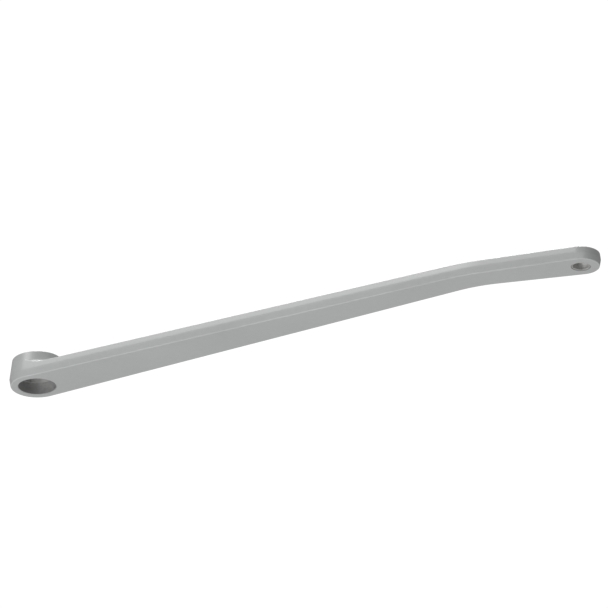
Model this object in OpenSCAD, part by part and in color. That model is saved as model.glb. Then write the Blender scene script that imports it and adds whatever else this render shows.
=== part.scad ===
// Gate opener arm: a cast lever with a tall hub at one end and a flat eye at the other,
// and a pressed-in plain bush in each of the two bores.
// Millimetres. The hub axis is Z, with the origin on that axis in the plane of the
// underside. +X runs from the hub axis to the eye axis, +Z towards the taller hub ring.

/* [Arm] */
// Distance from the hub axis to the eye axis
arm_centres = 460; // [440:5:500]
// Distance from the hub axis to the bend, along the line between the two axes
bend_at = 376.3; // [350:1:390]
// How far the middle of the bend sits to the -Y side of that line
bend_offset = 16.4; // [12:0.2:20]
// Width of the arm at the bend, at the parting line
waist_w = 23.8; // [22:0.2:26]
// Radius of the outer side of the bend
bend_r_outer = 160; // [80:5:200]
// Radius of the inner side of the bend
bend_r_inner = 105; // [60:5:140]
// Thickness of the arm and the eye
arm_t = 10.6; // [9.6:0.2:12]
// Height of the mould parting line above the underside
parting_z = 5.6; // [4.6:0.2:6.4]
// Draft of the side walls above the parting line, in degrees
draft_up = 7.5; // [3:0.5:9]
// Draft of the side walls below the parting line, in degrees
draft_down = 9; // [4:0.5:11]
// Radius of the rounded edges of the casting
edge_r = 1.0; // [0.6:0.1:1.4]

/* [Hub] */
// Outer diameter of the hub at the parting line
hub_d = 41.8; // [41:0.2:45]
// Height of the hub
hub_h = 21; // [19:0.5:25]
// Radius of the fillet where the hub ring rises from the arm
root_r = 4.6; // [3:0.2:5.4]
// Clearance bore through the lower half of the hub
hub_clear_d = 28.6; // [28.2:0.1:29.4]
// Height of the shoulder the hub bush is pressed down to
hub_shoulder_z = 9.3; // [8:0.1:11]
// Bore of the hub bush
hub_bush_id = 28; // [26:0.5:28]
// Wall of the hub bush
hub_bush_wall = 2; // [1.5:0.1:2]
// Length of the hub bush
hub_bush_l = 11; // [7:0.5:11]
// Direction of the butt seam of the hub bush, in degrees from +X
hub_seam_a = 140; // [90:5:180]

/* [Eye] */
// Outer diameter of the eye at the parting line
eye_d = 30; // [28:0.5:33]
// Bore of the eye bush
eye_bush_id = 12; // [10:0.5:12]
// Wall of the eye bush
eye_bush_wall = 1; // [1:0.1:1.5]
// Length of the eye bush
eye_bush_l = 10; // [8:0.2:10]

/* [Hidden] */
$fn = 96;
e = 0.01;
press = 0.01;       // radial interference of each bush in its seat
pad = 0.06;         // height of the machined end faces above and below the arm's own faces
seam_w = 0.3;       // width of the butt seam of a wrapped bush
hub_r = hub_d / 2;
eye_r = eye_d / 2;
hub_seat_r = hub_bush_id / 2 + hub_bush_wall;
eye_seat_r = eye_bush_id / 2 + eye_bush_wall;
eye_c = [arm_centres, 0];
// the straight sides run into the hub and the eye a little inside their outer circles
hub_t = hub_r - 0.5;
eye_t = eye_r - 0.4;
// corner points of the two sides at the bend
v_near = [bend_at, -bend_offset - waist_w / 2];
v_far = [bend_at, -bend_offset + waist_w / 2];

// directions of the four straight sides
function ang(v) = atan2(v[1], v[0]);
near_1 = ang(v_near) + asin(hub_t / norm(v_near));
far_1 = ang(v_far) - asin(hub_t / norm(v_far));
near_2 = ang(eye_c - v_near) - asin(eye_t / norm(eye_c - v_near));
far_2 = ang(eye_c - v_far) + asin(eye_t / norm(eye_c - v_far));

// centre of the corner arc: the point at distance k outside both side lines
function dir(a) = [cos(a), sin(a)];
function meet(n1, c1, n2, c2) = let (d = n1[0] * n2[1] - n2[0] * n1[1])
    [(c1 * n2[1] - c2 * n1[1]) / d, (n1[0] * c2 - n2[0] * c1) / d];
function corner(a1, a2, k) = meet(dir(a1), hub_t + k, dir(a2), dir(a2) * eye_c + eye_t + k);
c_near = corner(near_1 - 90, near_2 - 90, -bend_r_outer);
c_far = corner(far_1 + 90, far_2 + 90, bend_r_inner);

function arc(c, r, a1, a2, n) = [for (i = [0:n]) c + r * dir(a1 + (a2 - a1) * i / n)];

// plan outline of the arm at the parting line, moved inwards by d, counter-clockwise.
// Each end runs into the wall of the hub or eye, which are turned bodies of their own.
function outline(d) = concat(
    [(hub_t - d) * dir(far_1 + 90), [hub_t / 2, 0], (hub_t - d) * dir(near_1 - 90)],
    arc(c_near, bend_r_outer - d, near_1 - 90, near_2 - 90, 8),
    [eye_c + (eye_t - d) * dir(near_2 - 90), eye_c - [eye_t / 2, 0],
        eye_c + (eye_t - d) * dir(far_2 + 90)],
    arc(c_far, bend_r_inner + d, far_2 - 90, far_1 - 90, 10));

// inset of the side wall at height z, and of the centre of each edge rounding
function wall_up(z) = (z - parting_z) * tan(draft_up);
function wall_down(z) = (parting_z - z) * tan(draft_down);
function round_up(top) = wall_up(top - edge_r * (1 - sin(draft_up))) + edge_r * cos(draft_up);
round_down = wall_down(edge_r * (1 - sin(draft_down))) + edge_r * cos(draft_down);

// section of the edge as [inset, height] pairs, from the underside to the top
function edge_low() = [for (b = [90, 65, 37, draft_down])
    [round_down - edge_r * cos(b), edge_r * (1 - sin(b))]];
function edge_high(top) = [for (b = [draft_up, 37, 65, 90])
    [round_up(top) - edge_r * cos(b), top - edge_r * (1 - sin(b))]];
function section(top) = concat(edge_low(), [[0, parting_z]], edge_high(top));

// a body with the plan outline and the given edge section
module slab(sec) {
    n = len(outline(0));
    m = len(sec);
    pts = [for (s = sec) for (p = outline(s[0])) [p[0], p[1], s[1]]];
    polyhedron(points = pts, faces = concat(
        [[for (i = [0:n - 1]) i]],
        [[for (i = [n - 1:-1:0]) (m - 1) * n + i]],
        [for (k = [0:m - 2]) for (i = [0:n - 1]) let (j = (i + 1) % n)
            [k * n + i, (k + 1) * n + i, (k + 1) * n + j, k * n + j]]));
}

// a turned end with the same edge section as the arm
module turned(r, top) {
    rotate_extrude()
        polygon(concat([[r / 3, 0]], [for (s = section(top)) [r - s[0], s[1]]], [[r / 3, top]]));
}

// fillet between the hub ring and the top of the arm, kept between the side walls.
// Its ends are sunk a little into the hub and the arm.
module root() {
    zp = arm_t + root_r * (1 - sin(draft_up));
    rc = hub_r - wall_up(zp) + root_r * cos(draft_up);
    k = hub_t - wall_up(arm_t);
    near = k * dir(near_1 - 90);
    far = k * dir(far_1 + 90);
    intersection() {
        rotate_extrude()
            polygon(concat([[hub_seat_r + 1.2, arm_t - 1.7]],
                [for (i = [0:5]) let (a = 184 + draft_up + (83 - draft_up) * i / 5)
                    [rc + root_r * cos(a), arm_t + root_r + root_r * sin(a)]],
                [[rc + 0.5, arm_t - 1.7]]));
        translate([0, 0, arm_t - 3]) linear_extrude(hub_h)
            polygon([near, near + 32 * dir(near_1), far + 32 * dir(far_1), far]);
    }
}

module lever() {
    color([0.74, 0.75, 0.75]) difference() {
        resize([0, 0, 0]) union() {
            translate([0, 0, pad]) slab(section(arm_t - 2 * pad));
            turned(hub_r, hub_h);
            translate([arm_centres, 0, 0]) turned(eye_r, arm_t);
            root();
        }
        translate([0, 0, -1]) cylinder(d = hub_clear_d, h = hub_h + 2);
        translate([0, 0, -e]) cylinder(d1 = hub_clear_d + 1, d2 = hub_clear_d, h = 0.5);
        translate([0, 0, hub_shoulder_z]) cylinder(r = hub_seat_r, h = hub_h);
        translate([0, 0, hub_h - 0.5 + e])
            cylinder(r1 = hub_seat_r, r2 = hub_seat_r + 0.5, h = 0.5);
        translate([arm_centres, 0, -1]) cylinder(r = eye_seat_r, h = arm_t + 2);
        translate([arm_centres, 0, -e]) cylinder(r1 = eye_seat_r + 0.3, r2 = eye_seat_r, h = 0.3);
        translate([arm_centres, 0, arm_t - 0.3 + e])
            cylinder(r1 = eye_seat_r, r2 = eye_seat_r + 0.3, h = 0.3);
    }
}

// a wrapped plain bush standing on z = 0, with chamfered ends and an open butt seam
module bush(id, wall, l, seam_a) {
    ri = id / 2;
    ro = ri + wall + press;
    c = 0.3;
    difference() {
        rotate_extrude()
            polygon([[ri + c, 0], [ro - c, 0], [ro, c], [ro, l - c], [ro - c, l],
                [ri + c, l], [ri, l - c], [ri, c]]);
        rotate([0, 0, seam_a]) translate([ri - 1, -seam_w / 2, -1])
            cube([wall + 2, seam_w, l + 2]);
    }
}

module hub_bush() {
    color([0.45, 0.44, 0.42]) translate([0, 0, hub_shoulder_z])
        bush(hub_bush_id, hub_bush_wall, hub_bush_l, hub_seam_a);
}

module eye_bush() {
    color([0.6, 0.58, 0.54]) translate([arm_centres, 0, (arm_t - eye_bush_l) / 2])
        bush(eye_bush_id, eye_bush_wall, eye_bush_l, 180);
}

lever();
hub_bush();
eye_bush();
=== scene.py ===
"""Gate opener arm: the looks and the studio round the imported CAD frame."""

import math

import bmesh
import bpy
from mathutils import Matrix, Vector


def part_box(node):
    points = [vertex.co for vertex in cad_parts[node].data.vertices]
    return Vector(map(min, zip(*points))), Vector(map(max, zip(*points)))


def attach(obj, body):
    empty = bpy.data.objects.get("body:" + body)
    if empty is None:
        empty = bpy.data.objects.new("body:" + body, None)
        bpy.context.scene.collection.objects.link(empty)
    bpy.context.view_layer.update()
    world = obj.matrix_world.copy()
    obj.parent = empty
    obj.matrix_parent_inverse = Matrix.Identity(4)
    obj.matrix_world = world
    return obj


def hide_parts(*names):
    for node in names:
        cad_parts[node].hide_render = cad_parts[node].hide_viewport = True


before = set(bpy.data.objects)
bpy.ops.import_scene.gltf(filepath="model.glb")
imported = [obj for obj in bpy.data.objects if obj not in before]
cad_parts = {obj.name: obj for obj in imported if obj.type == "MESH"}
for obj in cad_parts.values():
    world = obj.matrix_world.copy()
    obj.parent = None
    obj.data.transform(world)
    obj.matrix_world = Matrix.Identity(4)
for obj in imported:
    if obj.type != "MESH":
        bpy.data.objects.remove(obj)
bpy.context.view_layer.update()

MM = 0.001
BODY = "root"
QUARTER = math.pi / 2


# ---------------------------------------------------------------- sizes, in millimetres
def box_mm(name):
    """A CAD node's lowest and highest corners, in millimetres."""
    low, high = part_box(name)
    return [c / MM for c in low], [c / MM for c in high]


# read from the frame
LEVER_LOW, LEVER_HIGH = box_mm("lever")
EYE_BUSH_LOW, EYE_BUSH_HIGH = box_mm("eye_bush")
HUB_R = -LEVER_LOW[0]                                   # at the parting line
HUB_H = LEVER_HIGH[2]
HUB_SHOULDER_Z = box_mm("hub_bush")[0][2]
EYE_X = (EYE_BUSH_LOW[0] + EYE_BUSH_HIGH[0]) / 2
EYE_R = LEVER_HIGH[0] - EYE_X
ARM_T = EYE_BUSH_LOW[2] + EYE_BUSH_HIGH[2]

# the same as in the CAD source, because the frame's boxes don't give them
BEND_X = 376.3
BEND_OFFSET = 16.4
WAIST_W = 23.8
BEND_R_NEAR = 160.0
BEND_R_FAR = 105.0
PARTING_Z = 5.6
DRAFT_UP = math.radians(7.5)
DRAFT_DOWN = math.radians(9.0)
EDGE_R = 1.0
ROOT_R = 4.6
HUB_CLEAR_R = 14.3
HUB_SEAT_R = 16.0
EYE_SEAT_R = 7.0
HUB_CHAMFER = 0.5

# from the photo, and not the same as in the CAD
RING_EDGE_R = 0.4                                       # the ring's rim is turned, so it is crisper
EYE_CHAMFER = 0.5

# divisions of the mesh: rows down the walls, columns round the outline, facets of the bores
ROUND_N = 6                                             # each rounded edge
RING_N, FILLET_N = 4, 10                                # the ring's wall and its root fillet
UP_N, DOWN_N = 3, 3                                     # the side wall above and below the parting
ZONE_N, INNER_N, BACK_N = 24, 56, 96                    # the hub's three kinds of sector
LONG_N, BEND_N, SHORT_N, TIP_N = 24, 16, 6, 64          # hub to bend, bend, bend to eye, eye
HUB_BORE_N, EYE_BORE_N = 128, 96


def unit(a):
    """Unit vector in the plan at an angle."""
    return (math.cos(a), math.sin(a))


def spread(a, b, n):
    """n even steps from a to b, without a itself."""
    return [a + (b - a) * k / n for k in range(1, n + 1)]


# ---------------------------------------------------------------- the arm's plan outline
def tangent_angle(corner, centre, radius, side):
    """Direction of the line through a corner point that touches a circle."""
    dx, dy = corner[0] - centre[0], corner[1] - centre[1]
    return math.atan2(dy, dx) + side * math.asin(radius / math.hypot(dx, dy))


HUB, EYE = (0.0, 0.0), (EYE_X, 0.0)
V_NEAR = (BEND_X, -BEND_OFFSET - WAIST_W / 2)           # corners of the two sides at the bend
V_FAR = (BEND_X, -BEND_OFFSET + WAIST_W / 2)
NEAR_1 = tangent_angle(V_NEAR, HUB, HUB_R, 1)           # directions of the four straight runs
FAR_1 = tangent_angle(V_FAR, HUB, HUB_R, -1)
NEAR_2 = tangent_angle(V_NEAR, EYE, EYE_R, -1) + math.pi
FAR_2 = tangent_angle(V_FAR, EYE, EYE_R, 1) + math.pi
TH_NEAR = NEAR_1 - QUARTER                              # where each side leaves the hub
TH_FAR = FAR_1 + QUARTER
BAND_FROM = 22.0                                        # where its own columns begin


def meet(a1, c1, a2, c2):
    """Crossing point of two lines, each given by its normal's direction and its offset."""
    n1, n2 = unit(a1), unit(a2)
    d = n1[0] * n2[1] - n2[0] * n1[1]
    return ((c1 * n2[1] - c2 * n1[1]) / d, (n1[0] * c2 - n2[0] * c1) / d)


def bend_centre(a1, a2, k):
    """The point at a distance k outside both straight runs of a side."""
    n2 = unit(a2)
    return meet(a1, HUB_R + k, a2, n2[0] * EYE[0] + n2[1] * EYE[1] + EYE_R + k)


C_NEAR = bend_centre(NEAR_1 - QUARTER, NEAR_2 - QUARTER, -BEND_R_NEAR)
C_FAR = bend_centre(FAR_1 + QUARTER, FAR_2 + QUARTER, BEND_R_FAR)


def on_arc(c, r, a, sign):
    """An arc's point as a function of the inset. sign is -1 where the side is hollow."""
    n = unit(a)
    return lambda d: (c[0] + (r - sign * d) * n[0], c[1] + (r - sign * d) * n[1])


def on_line(c, r, a, turn, t):
    """A point at t on the line in direction a that touches a circle, as a function of the
    inset. turn leads from the line's direction to its outward normal."""
    n, u = unit(a + turn), unit(a)
    return lambda d: (c[0] + (r - d) * n[0] + t * u[0], c[1] + (r - d) * n[1] + t * u[1])


def along(point, origin, a):
    """How far a point lies from an origin in the direction a."""
    u = unit(a)
    return (point[0] - origin[0]) * u[0] + (point[1] - origin[1]) * u[1]


def side_columns(a1, a2, turn, centre, radius, sign):
    """The columns of one side from the hub to the eye: a straight run in direction a1, the
    bend, and a straight run in direction a2."""
    t1, t2 = along(centre, HUB, a1), along(centre, EYE, a2)
    cols = [on_line(HUB, HUB_R, a1, turn, BAND_FROM + (t1 - BAND_FROM) * k / LONG_N)
            for k in range(LONG_N)]
    cols += [on_arc(centre, radius, a1 - QUARTER + (a2 - a1) * k / BEND_N, sign)
             for k in range(BEND_N + 1)]
    cols += [on_line(EYE, EYE_R, a2, turn, t2 * (1 - k / SHORT_N)) for k in range(1, SHORT_N)]
    return cols


def band_columns():
    """Functions of the inset that give the outline's points, from the near side of the hub
    round the eye to the far side of the hub."""
    near = side_columns(NEAR_1, NEAR_2, -QUARTER, C_NEAR, BEND_R_NEAR, 1)
    far = side_columns(FAR_1, FAR_2, QUARTER, C_FAR, BEND_R_FAR, -1)
    a0, a1 = NEAR_2 - QUARTER, FAR_2 + QUARTER
    tip = [on_arc(EYE, EYE_R, a0 + (a1 - a0) * k / TIP_N, 1) for k in range(TIP_N + 1)]
    return near + tip + far[::-1]


# ---------------------------------------------------------------- the side wall's section
def wall_up(z):
    """Inset of the wall at a height above the parting line."""
    return (z - PARTING_Z) * math.tan(DRAFT_UP)


def wall_down(z):
    """Inset of the wall at a height below the parting line."""
    return (PARTING_Z - z) * math.tan(DRAFT_DOWN)


def edge_high(top, radius):
    """(inset, height) points of a rounded top edge, from the top face down to the wall."""
    base = wall_up(top - radius * (1 - math.sin(DRAFT_UP))) + radius * math.cos(DRAFT_UP)
    pts = []
    for k in range(ROUND_N + 1):
        b = QUARTER + (DRAFT_UP - QUARTER) * k / ROUND_N
        pts.append((base - radius * math.cos(b), top - radius * (1 - math.sin(b))))
    return pts


def edge_low():
    """(inset, height) points of the rounded bottom edge, from the wall down to the face."""
    base = wall_down(EDGE_R * (1 - math.sin(DRAFT_DOWN))) + EDGE_R * math.cos(DRAFT_DOWN)
    pts = []
    for k in range(ROUND_N + 1):
        b = DRAFT_DOWN + (QUARTER - DRAFT_DOWN) * k / ROUND_N
        pts.append((base - EDGE_R * math.cos(b), EDGE_R * (1 - math.sin(b))))
    return pts


TOP_ROUND = edge_high(ARM_T, EDGE_R)
RING_ROUND = edge_high(HUB_H, RING_EDGE_R)
LOW_ROUND = edge_low()
# the wall between the two roundings, down to the parting line and on from it
UP_ROWS = [(wall_up(z), z) for z in spread(TOP_ROUND[-1][1], PARTING_Z, UP_N)]
DOWN_ROWS = [(wall_down(z), z) for z in spread(PARTING_Z, LOW_ROUND[0][1], DOWN_N)[:-1]]
LOW_ROWS = DOWN_ROWS + LOW_ROUND
BAND_ROWS = TOP_ROUND + UP_ROWS + LOW_ROWS


# ---------------------------------------------------------------- the fillet round the ring
ROOT_Z = ARM_T + ROOT_R * (1 - math.sin(DRAFT_UP))      # where it meets the ring's wall
ROOT_C = HUB_R - wall_up(ROOT_Z) + ROOT_R * math.cos(DRAFT_UP)
ALPHA_FULL = math.radians(40.0)                         # past this the arm's edge is clear of it
Z_SEARCH = (2.0, 26.0)                                  # heights that a search starts from
HALVINGS = 44


def top_field(r, z):
    """Depth under the ring's wall, the fillet or the arm's top, and the normal there."""
    if r >= ROOT_C:
        return ARM_T - z, (0.0, 1.0)
    dr, dz = r - ROOT_C, z - (ARM_T + ROOT_R)
    wall_n = (math.cos(DRAFT_UP), math.sin(DRAFT_UP))
    # above the radius that ends on the wall, the wall itself counts
    if dz * wall_n[0] - dr * wall_n[1] >= 0:
        return (HUB_R - wall_up(z) - r) * math.cos(DRAFT_UP), wall_n
    dist = math.hypot(dr, dz)
    return dist - ROOT_R, (-dr / dist, -dz / dist)


def skin_field(r, z, alpha):
    """Depth under the casting's skin in the half-plane at an angle from the side's tangent
    point, with the crease between side and top rounded to EDGE_R."""
    f_side = (HUB_R - wall_up(z) - r * math.cos(alpha)) * math.cos(DRAFT_UP)
    f_top, n = top_field(r, z)
    c = math.cos(DRAFT_UP) * math.cos(alpha) * n[0] + math.sin(DRAFT_UP) * n[1]
    u1, u2 = EDGE_R - f_side, EDGE_R - f_top
    if 1 - c * c > 1e-3 and u1 - c * u2 > 0 and u2 - c * u1 > 0:
        return EDGE_R - math.sqrt((u1 * u1 + u2 * u2 - 2 * c * u1 * u2) / (1 - c * c))
    return min(f_side, f_top)


def halve(low, high, inside):
    """The value between low and high where inside() turns false."""
    for _ in range(HALVINGS):
        mid = (low + high) / 2
        if inside(mid):
            low = mid
        else:
            high = mid
    return low


def skin_point(s, alpha):
    """(r, z) on the skin where r - z = s."""
    z = halve(*Z_SEARCH, lambda h: skin_field(s + h, h, alpha) > 0)
    return s + z, z


def crease(alpha):
    """r - z where the side wall crosses the fillet or the arm's top."""
    def wall_r(z):
        return (HUB_R - wall_up(z)) / math.cos(alpha)

    z = halve(ARM_T, ROOT_Z, lambda h: top_field(wall_r(h), h)[0] > 0)
    return wall_r(z) - z


S_TOP = HUB_R - RING_ROUND[-1][0] - RING_ROUND[-1][1]
S_ROOT = HUB_R - wall_up(ROOT_Z) - ROOT_Z
# in r - z: where the fillet's rows end before the crease, the least that the ring's rows end
# before that, and the reach of the crease's rounding before and after it
FLAT_BEFORE, ROOT_BEFORE = 2.1, 0.8
ROUND_BEFORE, ROUND_AFTER = 1.14, 1.02


def hub_rows(alpha):
    """The r - z values of a column's rows, from the ring's wall to the parting line."""
    x = crease(alpha)
    flat = x - FLAT_BEFORE
    root = min(S_ROOT, flat - ROOT_BEFORE)
    start, end = x - ROUND_BEFORE, x + ROUND_AFTER
    s_part = HUB_R / math.cos(alpha) - PARTING_Z
    return (spread(S_TOP, root, RING_N) + spread(root, flat, FILLET_N) + spread(flat, start, 1)
            + spread(start, end, ROUND_N) + spread(end, s_part, UP_N))


# ---------------------------------------------------------------- the casting
SHARP_ANGLE = math.radians(28)                          # creases past this stay sharp
NORMAL_WEIGHT = 90                                      # how far the big faces set the shading
FLAT_TOL = 0.001                                        # mm off a flat face's height


def build_lever(skin, bores):
    """The casting as one closed mesh with rounded edges, a root fillet and its bores. Takes
    the material of the skin and the material of the machined bores."""
    bm = bmesh.new()
    # painted highlight: a mask that is 1 along the crown of each rounded edge, where the paint's
    # colour is drawn lighter
    highlight_mask = bm.verts.layers.float.new("edge")            # 1 along the crown of each rounded edge

    def vert(x, y, z):
        return bm.verts.new((x * MM, y * MM, z * MM))

    def polar(r, a, z):
        return vert(r * math.cos(a), r * math.sin(a), z)

    # sets the painted-highlight mask along one rounded edge's rows
    def mark(rows):
        for k, v in enumerate(rows):
            v[highlight_mask] = math.sin(math.pi * k / (len(rows) - 1))

    def bridge(a, b):
        for k in range(min(len(a), len(b)) - 1):
            bm.faces.new((a[k], a[k + 1], b[k + 1], b[k]))

    def hub_column(theta, alpha, full=True):
        """One column of the hub's skin. full goes down to the underside."""
        scale = 1 / math.cos(alpha)
        col = [polar(HUB_R - i, theta, z) for i, z in RING_ROUND]
        rows = hub_rows(alpha)
        if not full:
            rows = rows[:RING_N + FILLET_N]
        for s in rows:
            r, z = skin_point(s, alpha)
            col.append(polar(r, theta, z))
        if full:
            col += [polar((HUB_R - i) * scale, theta, z) for i, z in LOW_ROWS]
            mark(col[-ROUND_N - 1:])
            if alpha > 0:
                start = ROUND_N + 1 + RING_N + FILLET_N
                mark(col[start:start + ROUND_N + 1])
        mark(col[:ROUND_N + 1])
        return col

    # columns round the hub: near crease zone, inner sector, far crease zone, back
    zone = [ALPHA_FULL * k / ZONE_N for k in range(ZONE_N + 1)]
    inner = spread(TH_NEAR + ALPHA_FULL, TH_FAR - ALPHA_FULL, INNER_N)[:-1]
    back_side = spread(TH_FAR, TH_NEAR + 2 * math.pi, BACK_N)[:-1]
    hub = [hub_column(TH_NEAR + a, a) for a in zone]
    hub += [hub_column(t, ALPHA_FULL, full=False) for t in inner]
    hub += [hub_column(TH_FAR - a, a) for a in reversed(zone)]
    hub += [hub_column(t, 0.0) for t in back_side]
    for a, b in zip(hub, hub[1:] + hub[:1]):
        bridge(a, b)

    # the band of side wall and edges round the rest of the outline
    skip = len(RING_ROUND) + RING_N + FILLET_N
    band = [hub[ZONE_N][skip:]]
    for col in band_columns():
        band.append([vert(*col(i), z) for i, z in BAND_ROWS])
        mark(band[-1][:ROUND_N + 1])
        mark(band[-1][-ROUND_N - 1:])
    band.append(hub[ZONE_N + INNER_N][skip:])
    for a, b in zip(band, band[1:]):
        bridge(a, b)

    def rings(cx, n, profile):
        """Rings of n points about a vertical axis, one for each (radius, height)."""
        turns = [2 * math.pi * k / n for k in range(n)]
        return [[vert(cx + r * math.cos(a), r * math.sin(a), z) for a in turns]
                for r, z in profile]

    def tube(loops):
        made = []
        for a, b in zip(loops, loops[1:]):
            n = len(a)
            for k in range(n):
                made.append(bm.faces.new((a[k], a[(k + 1) % n], b[(k + 1) % n], b[k])))
        return made

    hub_bore = rings(0, HUB_BORE_N, ((HUB_CLEAR_R + HUB_CHAMFER, 0),
                                     (HUB_CLEAR_R, HUB_CHAMFER),
                                     (HUB_CLEAR_R, HUB_SHOULDER_Z),
                                     (HUB_SEAT_R, HUB_SHOULDER_Z),
                                     (HUB_SEAT_R, HUB_H - HUB_CHAMFER),
                                     (HUB_SEAT_R + HUB_CHAMFER, HUB_H)))
    tube(hub_bore[:2])                                  # the coated chamfer at the mouth
    cut = tube(hub_bore[1:])
    cut += tube(rings(EYE_X, EYE_BORE_N, ((EYE_SEAT_R + EYE_CHAMFER, 0),
                                          (EYE_SEAT_R, EYE_CHAMFER),
                                          (EYE_SEAT_R, ARM_T - EYE_CHAMFER),
                                          (EYE_SEAT_R + EYE_CHAMFER, ARM_T))))

    # flat faces: every open edge left at one height is the border of one of them
    open_edges = [e for e in bm.edges if len(e.link_faces) == 1]
    for z in (0.0, ARM_T, HUB_H):
        rim = [e for e in open_edges if all(abs(v.co.z / MM - z) < FLAT_TOL for v in e.verts)]
        bmesh.ops.triangle_fill(bm, use_beauty=True, use_dissolve=False, edges=rim)
    bmesh.ops.recalc_face_normals(bm, faces=bm.faces)
    for f in bm.faces:
        f.smooth = True
    for f in cut:
        f.material_index = 1
    mesh = bpy.data.meshes.new("lever_cast")
    mesh.materials.append(skin)
    mesh.materials.append(bores)
    bm.to_mesh(mesh)
    bm.free()
    mesh.set_sharp_from_angle(angle=SHARP_ANGLE)
    obj = bpy.data.objects.new("lever_cast", mesh)
    bpy.context.scene.collection.objects.link(obj)
    even = obj.modifiers.new("even_normals", "WEIGHTED_NORMAL")
    even.keep_sharp = True
    even.weight = NORMAL_WEIGHT
    return obj


# ---------------------------------------------------------------- shader helpers
def new_material(name):
    """An empty material, its node tree and its Principled shader."""
    m = bpy.data.materials.new(name)
    m.use_nodes = True
    nt = m.node_tree
    nt.nodes.clear()
    out = nt.nodes.new("ShaderNodeOutputMaterial")
    bsdf = nt.nodes.new("ShaderNodeBsdfPrincipled")
    nt.links.new(bsdf.outputs[0], out.inputs[0])
    return m, nt, bsdf


def node(nt, kind, **values):
    """A new node with these properties."""
    n = nt.nodes.new(kind)
    for k, v in values.items():
        setattr(n, k, v)
    return n


def math_node(nt, op, a, b=None):
    """A math node's output. Each input is a number or another node's output."""
    n = node(nt, "ShaderNodeMath", operation=op)
    for i, v in enumerate((a, b)):
        if isinstance(v, (int, float)):
            n.inputs[i].default_value = v
        elif v is not None:
            nt.links.new(v, n.inputs[i])
    return n.outputs[0]


def noise(nt, vector, scale, detail, rough):
    """A noise between 0 and 1. scale is in cells to a metre."""
    n = node(nt, "ShaderNodeTexNoise")
    n.inputs["Scale"].default_value = scale
    n.inputs["Detail"].default_value = detail
    n.inputs["Roughness"].default_value = rough
    nt.links.new(vector, n.inputs["Vector"])
    return n.outputs["Fac"]


def blend(nt, a, b, share):
    """Two values added, with this share of the first and the rest of the second."""
    return math_node(nt, "ADD", math_node(nt, "MULTIPLY", a, share),
                     math_node(nt, "MULTIPLY", b, 1 - share))


def remap(nt, value, source, target):
    """A value moved from one range to another, and kept inside it."""
    n = node(nt, "ShaderNodeMapRange")
    nt.links.new(value, n.inputs["Value"])
    for name, v in zip(("From Min", "From Max", "To Min", "To Max"), source + target):
        n.inputs[name].default_value = v
    return n.outputs["Result"]


def mix_colour(nt, fac, a, b):
    """Colour a where fac is 0 and b where it is 1. Each is a colour or a node's output."""
    n = node(nt, "ShaderNodeMix", data_type="RGBA")
    nt.links.new(fac, n.inputs[0])
    for i, v in ((6, a), (7, b)):                       # the two colour sockets
        if isinstance(v, tuple):
            n.inputs[i].default_value = v
        else:
            nt.links.new(v, n.inputs[i])
    return n.outputs[2]


def shade(colour, factor):
    """A colour made darker or lighter by a factor."""
    return tuple(min(1, c * factor) for c in colour[:3]) + (1,)


def bump(nt, height, strength, distance, before=None):
    """A normal, on top of the one before it. distance is in metres."""
    n = node(nt, "ShaderNodeBump")
    n.inputs["Strength"].default_value = strength
    n.inputs["Distance"].default_value = distance
    nt.links.new(height, n.inputs["Height"])
    if before is not None:
        nt.links.new(before, n.inputs["Normal"])
    return n.outputs[0]


# ---------------------------------------------------------------- materials
PAINT = (0.430, 0.437, 0.437, 1)


def paint_material():
    """Satin grey powder coat, with the flash line and a painted highlight along the crowns of the
    edges.
    """
    m, nt, bsdf = new_material("satin_powder_coat")
    pos = node(nt, "ShaderNodeTexCoord").outputs["Object"]
    broad = noise(nt, pos, scale=14.0, detail=3.0, rough=0.55)      # slow drift along the arm
    mottle = noise(nt, pos, scale=260.0, detail=2.0, rough=0.5)     # 4 mm mottle of the coat
    peel = noise(nt, pos, scale=900.0, detail=2.0, rough=0.55)      # 1 mm orange peel
    grain = noise(nt, pos, scale=5200.0, detail=1.0, rough=0.5)     # powder grain
    tone = blend(nt, broad, mottle, 0.6)
    tone_range = (0.3, 0.7)
    base = mix_colour(nt, remap(nt, tone, tone_range, (0.0, 1.0)),
                      shade(PAINT, 0.955), shade(PAINT, 1.045))
    # the flash line of the two mould halves, cleaned off but still just visible
    split = node(nt, "ShaderNodeSeparateXYZ")
    nt.links.new(pos, split.inputs[0])
    off = math_node(nt, "ABSOLUTE", math_node(nt, "SUBTRACT", split.outputs[2], PARTING_Z * MM))
    line = remap(nt, off, (0.0, 0.00022), (1.0, 0.0))
    base = mix_colour(nt, math_node(nt, "MULTIPLY", line, 0.35), base, shade(PAINT, 0.86))
    # painted highlight: the colour is drawn lighter along the crowns of the edges, more in some
    # stretches than others
    edge = node(nt, "ShaderNodeAttribute", attribute_name="edge").outputs["Fac"]
    painted_highlight = math_node(nt, "MULTIPLY", edge, remap(nt, broad, (0.35, 0.65), (0.55, 0.95)))
    base = mix_colour(nt, painted_highlight, base, shade(PAINT, 1.28))
    nt.links.new(base, bsdf.inputs["Base Color"])
    nt.links.new(remap(nt, tone, tone_range, (0.36, 0.43)), bsdf.inputs["Roughness"])
    bsdf.inputs["Metallic"].default_value = 0.0
    bsdf.inputs["Specular IOR Level"].default_value = 0.5
    normal = bump(nt, peel, strength=0.22, distance=0.00005)
    normal = bump(nt, grain, strength=0.12, distance=0.00002, before=normal)
    normal = bump(nt, line, strength=0.5, distance=0.00006, before=normal)
    nt.links.new(normal, bsdf.inputs["Normal"])
    return m


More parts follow.
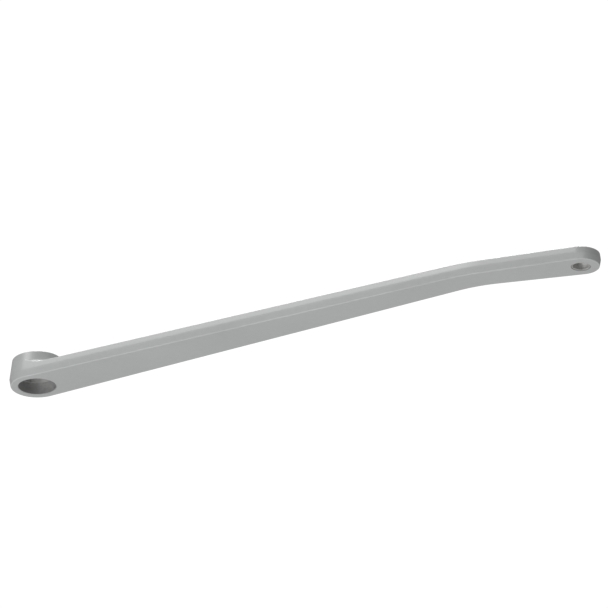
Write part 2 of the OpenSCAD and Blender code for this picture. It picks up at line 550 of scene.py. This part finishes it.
def turned_material(name, colour, rough, metallic, gloss, pitch, axis_x=0.0):
    """Machined or rolled metal with fine rings about a vertical axis."""
    m, nt, bsdf = new_material(name)
    pos = node(nt, "ShaderNodeTexCoord").outputs["Object"]
    split = node(nt, "ShaderNodeSeparateXYZ")
    nt.links.new(pos, split.inputs[0])
    x, y = math_node(nt, "SUBTRACT", split.outputs[0], axis_x), split.outputs[1]
    radius = math_node(nt, "SQRT", math_node(nt, "ADD", math_node(nt, "MULTIPLY", x, x),
                                             math_node(nt, "MULTIPLY", y, y)))
    turn = math_node(nt, "ARCTAN2", y, x)
    # a noise that runs a long way round the axis before it changes
    around = node(nt, "ShaderNodeCombineXYZ")
    nt.links.new(radius, around.inputs[0])
    nt.links.new(math_node(nt, "MULTIPLY", turn, 0.0004), around.inputs[1])
    nt.links.new(split.outputs[2], around.inputs[2])
    rings = noise(nt, around.outputs[0], scale=1 / pitch, detail=2.0, rough=0.6)
    patch = noise(nt, pos, scale=180.0, detail=3.0, rough=0.6)
    tone = blend(nt, rings, patch, 0.5)
    tone_range = (0.35, 0.65)
    base = mix_colour(nt, remap(nt, tone, tone_range, (0.0, 1.0)),
                      shade(colour, 0.8), shade(colour, 1.12))
    nt.links.new(base, bsdf.inputs["Base Color"])
    nt.links.new(remap(nt, tone, tone_range, (rough - 0.06, rough + 0.08)),
                 bsdf.inputs["Roughness"])
    bsdf.inputs["Metallic"].default_value = metallic
    bsdf.inputs["Specular IOR Level"].default_value = gloss
    nt.links.new(bump(nt, rings, strength=0.25, distance=0.00003), bsdf.inputs["Normal"])
    return m


paint = paint_material()
# the bores' machined surface, coloured much darker than bare aluminium as painted shade inside the
# bores
machined = turned_material("machined_aluminium_painted_shade", (0.28, 0.28, 0.277), rough=0.75,
                           metallic=0.0, gloss=0.12, pitch=0.0002)
hub_liner = turned_material("hub_bush_sliding_layer", (0.29, 0.29, 0.285), rough=0.5,
                            metallic=0.1, gloss=0.4, pitch=0.0003)
eye_liner = turned_material("eye_bush_sliding_layer", (0.47, 0.47, 0.46), rough=0.55,
                            metallic=0.2, gloss=0.4, pitch=0.0002, axis_x=EYE_X * MM)


# ---------------------------------------------------------------- pieces
def dress(obj, material):
    """Gives a CAD piece its one material."""
    obj.data.materials.clear()
    obj.data.materials.append(material)


lever = build_lever(paint, machined)
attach(lever, BODY)
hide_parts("lever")
dress(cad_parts["hub_bush"], hub_liner)
dress(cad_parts["eye_bush"], eye_liner)

# ---------------------------------------------------------------- camera, in metres
CAM_AZ, CAM_EL = math.radians(27.7), math.radians(-24.9)
LENS, SENSOR = 1500.0, 36.0                             # mm: long, for almost no perspective
VIEW_WIDTH = 0.45551                                    # across the picture, at the aim
AIM_RIGHT, AIM_UP, AIM_BACK = 0.20094, 0.0623, 0.097    # from the origin, in the camera's axes
CLIP_START, CLIP_END = 1.0, 200.0


def direction(azimuth, elevation):
    """Unit vector towards an azimuth, which is 0 at -Y, and an elevation."""
    return Vector((math.sin(azimuth) * math.cos(elevation),
                   -math.cos(azimuth) * math.cos(elevation), math.sin(elevation)))


def look(obj, aim, way, distance):
    """Puts an object at a distance from the aim and turns it to face the aim."""
    obj.location = aim + way * distance
    obj.rotation_mode = "QUATERNION"
    obj.rotation_quaternion = (-way).to_track_quat("-Z", "Y")
    bpy.context.scene.collection.objects.link(obj)


back = direction(CAM_AZ, CAM_EL)
right = Vector((math.cos(CAM_AZ), math.sin(CAM_AZ), 0))
up = back.cross(right)
cam = bpy.data.objects.new("camera", bpy.data.cameras.new("camera"))
cam.data.lens, cam.data.sensor_width = LENS, SENSOR
cam.data.clip_start, cam.data.clip_end = CLIP_START, CLIP_END
look(cam, AIM_RIGHT * right + AIM_UP * up + AIM_BACK * back, back, VIEW_WIDTH * LENS / SENSOR)
bpy.context.scene.camera = cam

# ---------------------------------------------------------------- studio
FLOOR_Z, FLOOR_HALF = -30.0, 180.0                      # under any camera that looks up
FLOOR_CORNERS = ((-1, -1), (1, -1), (1, 1), (-1, 1))
floor_mesh = bpy.data.meshes.new("floor")
floor_mesh.from_pydata([(FLOOR_HALF * x, FLOOR_HALF * y, FLOOR_Z) for x, y in FLOOR_CORNERS],
                       [], [(0, 1, 2, 3)])
floor = bpy.data.objects.new("floor", floor_mesh)
bpy.context.scene.collection.objects.link(floor)
floor_mat, _, floor_bsdf = new_material("floor_paper")
floor_bsdf.inputs["Base Color"].default_value = (0.85, 0.85, 0.85, 1)
floor_bsdf.inputs["Roughness"].default_value = 0.9
floor_mesh.materials.append(floor_mat)

LIGHT_AIM = Vector((0.23, -0.01, 0.01))
LIGHT_DIST = 4.0
# Soft boxes: azimuth from the camera's, to its right, and elevation, both in degrees; size
# in metres; the brightness each gives a facing card of the paint; and whether it shows in
# reflections. The two below the arm don't, because their reflections burn out the outline of
# the upright walls in views from above.
LIGHTS = {
    "key": (-52, 38, 1.6, 0.225, True),
    "overhead": (180, 80, 1.0, 0.28, True),
    "rear": (180, 62, 1.2, 0.07, True),
    "under": (0, -88, 1.6, 0.215, False),
    "edge": (-56, -62, 0.5, 0.072, False),
    "side": (4, 2, 1.6, 0.06, True),
}
for name, (azimuth, elevation, size, level, glossy) in LIGHTS.items():
    data = bpy.data.lights.new(name, "AREA")
    data.shape = "SQUARE"
    data.size = size
    data.energy = level / PAINT[1] * math.pi ** 2 * LIGHT_DIST ** 2
    lamp = bpy.data.objects.new(name, data)
    lamp.visible_camera = False
    lamp.visible_glossy = glossy
    look(lamp, LIGHT_AIM, direction(CAM_AZ + math.radians(azimuth), math.radians(elevation)),
         LIGHT_DIST)

# ---------------------------------------------------------------- world
BACKDROP, FILL = 1.05, 0.32                             # what the camera sees, and what lights


def background(nt, strength):
    """The output of a white background."""
    n = node(nt, "ShaderNodeBackground")
    n.inputs["Color"].default_value = (1, 1, 1, 1)
    n.inputs["Strength"].default_value = strength
    return n.outputs[0]


world = bpy.data.worlds.new("studio")
bpy.context.scene.world = world
world.use_nodes = True
wt = world.node_tree
wt.nodes.clear()
w_out = node(wt, "ShaderNodeOutputWorld")
mix = node(wt, "ShaderNodeMixShader")
wt.links.new(node(wt, "ShaderNodeLightPath").outputs["Is Camera Ray"], mix.inputs[0])
wt.links.new(background(wt, FILL), mix.inputs[1])
wt.links.new(background(wt, BACKDROP), mix.inputs[2])
wt.links.new(mix.outputs[0], w_out.inputs[0])
bpy.context.scene.view_settings.view_transform = "Standard"
